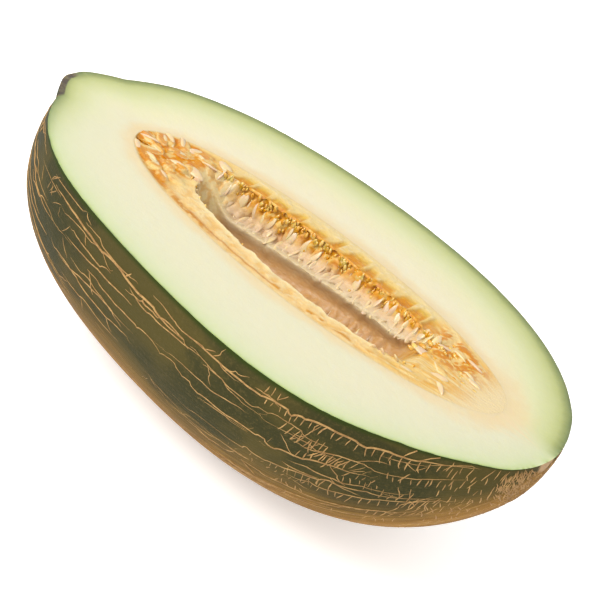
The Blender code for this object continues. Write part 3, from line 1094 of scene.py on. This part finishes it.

    # Near band: cream yellow with a painted highlight along its lip, golden at its outer edge near the
    # blossom end, then a fissure and ochre dots
    inBand = onNear * (1 - rightEnd)
    nearRim = y - middle + width
    onSide = (v > 0.5) * 1.0
    gold = smooth(-nearRim, -0.0066, -0.0024) * smooth(-x, 0.014, 0.034)
    gold = gold * smooth(medium + 0.6 * fine, -0.25, 0.05) * onSide * smooth(nearRim, 0.0004, 0.0016)
    fissure = bell(nearRim + 0.0009 * coarse, 0.0036, 0.0006) * smooth(x, -0.050, -0.036)
    fissure = fissure * smooth(-x, -0.022, -0.004)
    dots = bell(nearRim, 0.0040 + 0.0006 * coarse, 0.0012) * smooth(x, 0.000, 0.012)
    dots = dots * smooth(-x, -0.070, -0.060)
    tints = paint(
        tints,
        (inBand, (255, 216, 146)),
        (inBand * smooth(speck + coarse * 0.5, 0.05, 0.4) * 0.7, (255, 230, 172)),
        (inBand * smooth(-medium, 0.05, 0.35) * 0.5, (246, 186, 86)),
        # Painted highlight: a pale strip along the near lip
        (bell(nearShare, 0.02, 0.14) * onNear * fade, (255, 234, 178)),
        (gold * 0.95, (218, 146, 0)),
        (fissure * onSide * 0.85, (204, 132, 24)),
        (dots * onSide * smooth(medium, 0.02, 0.20), (224, 154, 20)),
    )

    # Blossom end: deep orange gel between cream loops that are partly a painted highlight, a pale skin
    # towards the hollow, and a head wall painted pale, partly as painted light against its shade
    loops = medium + 0.6 * fine
    cluster = smooth(-x, 0.053, 0.062) * smooth(rim, 0.0003, 0.0026)
    cluster = cluster * smooth(-y + 0.003 * medium, -0.020, -0.014)
    skin = bell(x, -0.053, 0.006) * smooth(y, -0.022, -0.012) * smooth(-y, -0.010, 0.0)
    headWall = smooth(-x, 0.034, 0.048) * inHollow * smooth(fade, 0.0, 0.05) * smooth(-fade, -0.99, -0.6)
    tints = paint(
        tints,
        (leftEnd, (246, 206, 126)),
        (cluster * smooth(loops, -0.40, -0.22), (236, 156, 0)),
        (cluster * smooth(loops, 0.10, 0.32) * 0.8, (222, 134, 0)),
        # The cream loops are real pulp, and partly a painted highlight on the gel
        (cluster * bell(loops, -0.20, 0.05) * 0.8, (255, 230, 160)),
        (cluster * bell(nearSeed, 0.75, 0.2) * 0.8, (255, 226, 156)),
        (gold * smooth(-x, 0.05, 0.06), (222, 144, 0)),
        (skin * smooth(coarse + medium, -0.3, 0.2) * 0.85, (252, 226, 156)),
        # Painted light: the head wall faces away from the key light and is painted pale cream, partly
        # membrane colour and partly to lift its shade
        (headWall * 0.9, (255, 230, 170)),
        (headWall * smooth(speck, 0.02, 0.25) * 0.6, (240, 180, 92)),
    )

    # Stem end: cream and yellow streaks that run to the stem, gold on the far side
    ahead = 0.130 - x
    ray = np.arctan2(y, ahead)
    streaks = grain(np.stack([ray * 0.30, ahead * 0.22, x * 0], axis=-1), 0.0060, 5.0)
    orange = rightEnd * smooth(y + 0.004 * medium, 0.002, 0.009) * smooth(rim, 0.0015, 0.0050)
    orange = orange * smooth(-x, -0.096, -0.082)
    tints = paint(
        tints,
        (rightEnd, (250, 208, 126)),
        (rightEnd * smooth(streaks, 0.02, 0.30) * 0.8, (255, 228, 164)),
        (rightEnd * smooth(-streaks, 0.05, 0.30) * 0.7, (246, 182, 76)),
        (rightEnd * smooth(medium + coarse, 0.30, 0.55) * smooth(rim, 0.002, 0.006) * 0.5, (240, 172, 50)),
        (orange * smooth(medium + fine, -0.25, 0.05), (230, 148, 12)),
        (orange * smooth(-medium, 0.1, 0.3) * 0.7, (254, 220, 150)),
        (rightEnd * smooth(x + 0.004 * streaks, 0.078, 0.098) * 0.9, (252, 230, 180)),
        # The rim takes the flesh's own haze, so that no line shows
        ((1 - smooth(rim, 0.0, 0.0020)) * smooth(-x, -0.092, -0.072), pulp["edge"]),
    )
    writeTints(sheet, "pulpTint", np.clip(tints, 0, 1))
    writeValues(sheet, "inside", smooth(rim, 0.0005, 0.004) * (1 - 0.8 * smooth(x, 0.068, 0.090)))
    movePoints(sheet, points)
    finish = pulpFinish()
    sheet.data.materials.append(finish)
    piece = joinPieces([sheet, pulpUnder(finish)], "seedPulp")
    sealSeams(piece, 0.000002)
    putInPlace(piece)
    pick(piece)
    bpy.ops.object.shade_smooth_by_angle(angle=math.radians(55))
    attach(piece, "root")
    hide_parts("seed_pulp")
    print("pulp:", len(piece.data.polygons), "faces")


# Beads of gel along the far rim and at the stem end
beads = {
    "seed": 9,
    "rim": 300,
    "rimSpan": (-0.058, 0.070),
    "rimSizes": (0.45, 1.2),
    "stemEnd": 90,
    "stemSpan": (0.060, 0.092),
    "stemSizes": (0.6, 1.6),
    "radius": 0.0007,
    "shader": {
        "Roughness": 0.12,
        "Subsurface Weight": 0.4,
        "Subsurface Radius": (1.0, 0.5, 0.1),
        "Subsurface Scale": 0.002,
    },
    "gel": ((240, 166, 20), (255, 216, 120)),
}


def beadFinish():
    gel = Finish("goldenGel", beads["shader"])
    mottle = gel.cloud(gel.place(), 260, 2)
    gel.feed("Base Color", gel.blend(gel.rise(mottle, 0.35, 0.65), *beads["gel"]))
    return gel.material


def layBeads():
    draw = random.Random(beads["seed"])
    laid = []
    for _ in range(beads["rim"]):
        x = draw.uniform(*beads["rimSpan"])
        onFarRim = draw.random() < 0.85
        turn = abs(draw.gauss(0, 0.17)) * 0.8
        turn = turn if onFarRim else math.pi - turn
        spot = hollowPoints(np.array(x), np.array(turn))
        inward = np.array([0, -math.cos(turn), math.sin(turn)])
        along = unit(np.array([draw.uniform(-0.5, 0.5), draw.uniform(-0.5, 0.5), -1.0]))
        flat = unit(np.array([draw.uniform(-1, 1), draw.uniform(-1, 1), 0.3]))
        spot = spot - inward * 0.0001 - np.array([0, 0, 0.0006])
        laid.append((spot, along, flat, draw.uniform(*beads["rimSizes"])))
    for _ in range(beads["stemEnd"]):
        x = draw.uniform(*beads["stemSpan"])
        middle, width, _ = cavitySection(np.array(x))
        y = float(middle + width * draw.uniform(-0.1, 0.8))
        along = unit(np.array([1.0, draw.uniform(-0.7, 0.7), draw.uniform(-0.3, 0.3)]))
        flat = np.array([0.1, 0.1, 1.0])
        laid.append((np.array([x, y, -0.0009]), along, flat, draw.uniform(*beads["stemSizes"])))
    return laid


def beadShape():
    allOff()
    bpy.ops.mesh.primitive_ico_sphere_add(subdivisions=2, radius=beads["radius"])
    bead = bpy.context.object
    points = pointsOf(bead)
    points[:, 2] *= 2.1 - 0.35 * points[:, 2] / beads["radius"]  # long, and blunter at one end
    points[:, 0] *= 1.1
    movePoints(bead, points)
    return bead


# Studio
studio = {
    "azimuth": 24.83,
    "elevation": 27.79,
    "roll": 26.81,
    "distance": 1.083,
    "aimDown": 0.0175,
    "aimLeft": 0.0004,
    "lens": 163.55,
    "floorSize": 8.0,
    "floorShade": 0.92,
    "floorGlow": 0.4,  # softens the shadow
    "skyStrength": 0.9,
    "lightAim": (0, 0, 0.05),
    "lights": (  # name, place, size, watts
        ("key", (-0.8, -1.2, 1.5), 1.5, 46),
        ("fill", (0.5, -1.3, 0.7), 1.2, 8),
    ),
}


def makeCamera():
    azimuth, elevation, roll = (math.radians(studio[k]) for k in ("azimuth", "elevation", "roll"))
    reach = math.cos(elevation)
    back = Vector((math.sin(azimuth) * reach, -math.cos(azimuth) * reach, math.sin(elevation)))
    level = Vector((math.cos(azimuth), math.sin(azimuth), 0))
    upright = back.cross(level)
    right = level * math.cos(roll) + upright * math.sin(roll)
    up = upright * math.cos(roll) - level * math.sin(roll)
    centre = Vector(inPlace)
    eye = centre + back * studio["distance"]
    aim = centre - up * studio["aimDown"] - right * studio["aimLeft"]
    axis = (eye - aim).normalized()
    right = up.cross(axis).normalized()
    up = axis.cross(right)
    bpy.ops.object.camera_add()
    camera = bpy.context.object
    camera.data.lens = studio["lens"]
    camera.data.clip_end = 50
    camera.matrix_world = Matrix.Translation(eye) @ Matrix((right, up, axis)).transposed().to_4x4()
    bpy.context.scene.camera = camera


def areaLight(name, spot, size, power):
    data = bpy.data.lights.new(name, "AREA")
    data.shape = "DISK"
    data.size = size
    data.energy = power
    lamp = bpy.data.objects.new(name, data)
    lamp.location = spot
    lamp.rotation_euler = (Vector(spot) - Vector(studio["lightAim"])).to_track_quat("Z", "Y").to_euler()
    bpy.context.scene.collection.objects.link(lamp)


def makeStudio():
    allOff()
    bpy.ops.mesh.primitive_plane_add(size=studio["floorSize"])
    floor = bpy.context.object
    floor.name = "floor"
    shade = studio["floorShade"]
    values = {"Roughness": 0.9, "Base Color": (shade, shade, shade, 1), "Emission Color": (1, 1, 1, 1)}
    paper = Finish("paleFloor", {**values, "Emission Strength": studio["floorGlow"]})
    floor.data.materials.append(paper.material)
    world = bpy.data.worlds.new("softSky")
    bpy.context.scene.world = world
    world.use_nodes = True
    sky = world.node_tree.nodes["Background"]
    sky.inputs["Color"].default_value = (1, 1, 1, 1)
    sky.inputs["Strength"].default_value = studio["skyStrength"]
    for light in studio["lights"]:
        areaLight(*light)
    bpy.context.scene.view_settings.view_transform = "Standard"


makeFlesh()
makeNetting()
seedDraw = random.Random(seeds["seed"])
seedsLaid = layWallSeeds(seedDraw) + layEndSeeds(seedDraw)
makePulp(seedsLaid)
scatter("melonSeeds", seedShape(), seedsLaid, seedFinish())
scatter("gelBeads", beadShape(), layBeads(), beadFinish())
print("seeds and beads laid")
makeCamera()
makeStudio()
